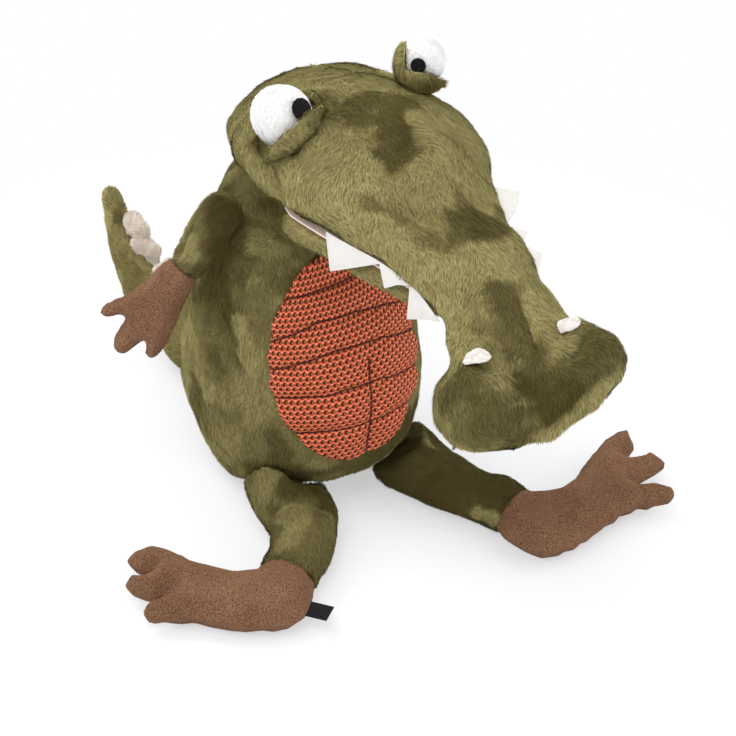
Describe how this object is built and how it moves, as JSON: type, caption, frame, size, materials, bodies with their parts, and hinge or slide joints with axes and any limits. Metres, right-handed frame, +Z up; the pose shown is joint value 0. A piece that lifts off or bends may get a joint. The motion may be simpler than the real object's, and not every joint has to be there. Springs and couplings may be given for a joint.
{
  "type": "plush crocodile",
  "caption": "Sitting plush crocodile with a long drooping snout, a knit belly panel, felt teeth and suede hands and feet; head, jaw, limbs and tail move.",
  "frame": {"origin": "middle of the flat seat, on the surface the toy sits on", "axes": "+Z up, -Y the way the toy faces, +X towards the toy's own left"},
  "size_m": [0.3297, 0.507, 0.2963],
  "materials": {
    "olive_pile": "short plush pile",
    "coral_mesh": "open spacer knit",
    "brown_suede": "matt suede",
    "white_felt": "felt",
    "white_pile": "short white pile",
    "cream_fleece": "cream fleece",
    "blush_felt": "felt",
    "black_felt": "felt",
    "black_ribbon": "woven ribbon",
    "filling": "fibre filling"
  },
  "bodies": {
    "torso": {"body_skin": "olive_pile", "body_stuffing": "filling", "belly_panel": "coral_mesh"},
    "head": {"head_skin": "olive_pile", "head_stuffing": "filling", "palate_lining": "blush_felt", "teeth_right": "white_felt", "teeth_left": "white_felt", "nostril_right": "white_felt", "nostril_left": "white_felt", "eye_right": "white_pile", "eye_left": "white_pile", "pupil_right": "black_felt", "pupil_left": "black_felt", "eyelid_right": "olive_pile", "eyelid_left": "olive_pile"},
    "jaw": {"lower_jaw": "olive_pile", "jaw_lining": "blush_felt"},
    "arm_right": {"arm_right": "olive_pile", "arm_stuffing_right": "filling", "hand_right": "brown_suede"},
    "arm_left": {"arm_left": "olive_pile", "arm_stuffing_left": "filling", "hand_left": "brown_suede"},
    "leg_right": {"leg_right": "olive_pile", "leg_stuffing_right": "filling", "foot_right": "brown_suede", "label_tab": "black_ribbon"},
    "leg_left": {"leg_left": "olive_pile", "leg_stuffing_left": "filling", "foot_left": "brown_suede"},
    "tail": {"tail": "olive_pile", "tail_stuffing": "filling", "tail_spike_1": "cream_fleece", "tail_spike_2": "cream_fleece", "tail_spike_3": "cream_fleece", "tail_spike_4": "cream_fleece", "tail_spike_5": "cream_fleece"}
  },
  "joints": [
    {"name": "neck_nod", "type": "hinge", "parent": "torso", "child": "head", "pos_m": [0, -0.008, 0.2], "axis": [1, 0, 0], "range_deg": [-15, 15]},
    {"name": "jaw_open", "type": "hinge", "parent": "head", "child": "jaw", "pos_m": [0, -0.076, 0.21964], "axis": [1, 0, 0], "range_deg": [0, 25]},
    {"name": "shoulder_right_swing", "type": "hinge", "parent": "torso", "child": "arm_right", "pos_m": [-0.052, -0.009, 0.191], "axis": [-1, 0, 0], "range_deg": [-35, 90]},
    {"name": "shoulder_left_swing", "type": "hinge", "parent": "torso", "child": "arm_left", "pos_m": [0.052, -0.009, 0.191], "axis": [-1, 0, 0], "range_deg": [-35, 90]},
    {"name": "hip_right_swing", "type": "hinge", "parent": "torso", "child": "leg_right", "pos_m": [-0.035, -0.038, 0.0215], "axis": [-0.9112, 0.4119, 0], "range_deg": [-75, 15]},
    {"name": "hip_left_swing", "type": "hinge", "parent": "torso", "child": "leg_left", "pos_m": [0.035, -0.038, 0.0215], "axis": [-0.9111, -0.4122, 0], "range_deg": [-75, 15]},
    {"name": "tail_swing", "type": "hinge", "parent": "torso", "child": "tail", "pos_m": [0, 0.06, 0.0225], "axis": [0, 0, 1], "range_deg": [-30, 30]}
  ]
}
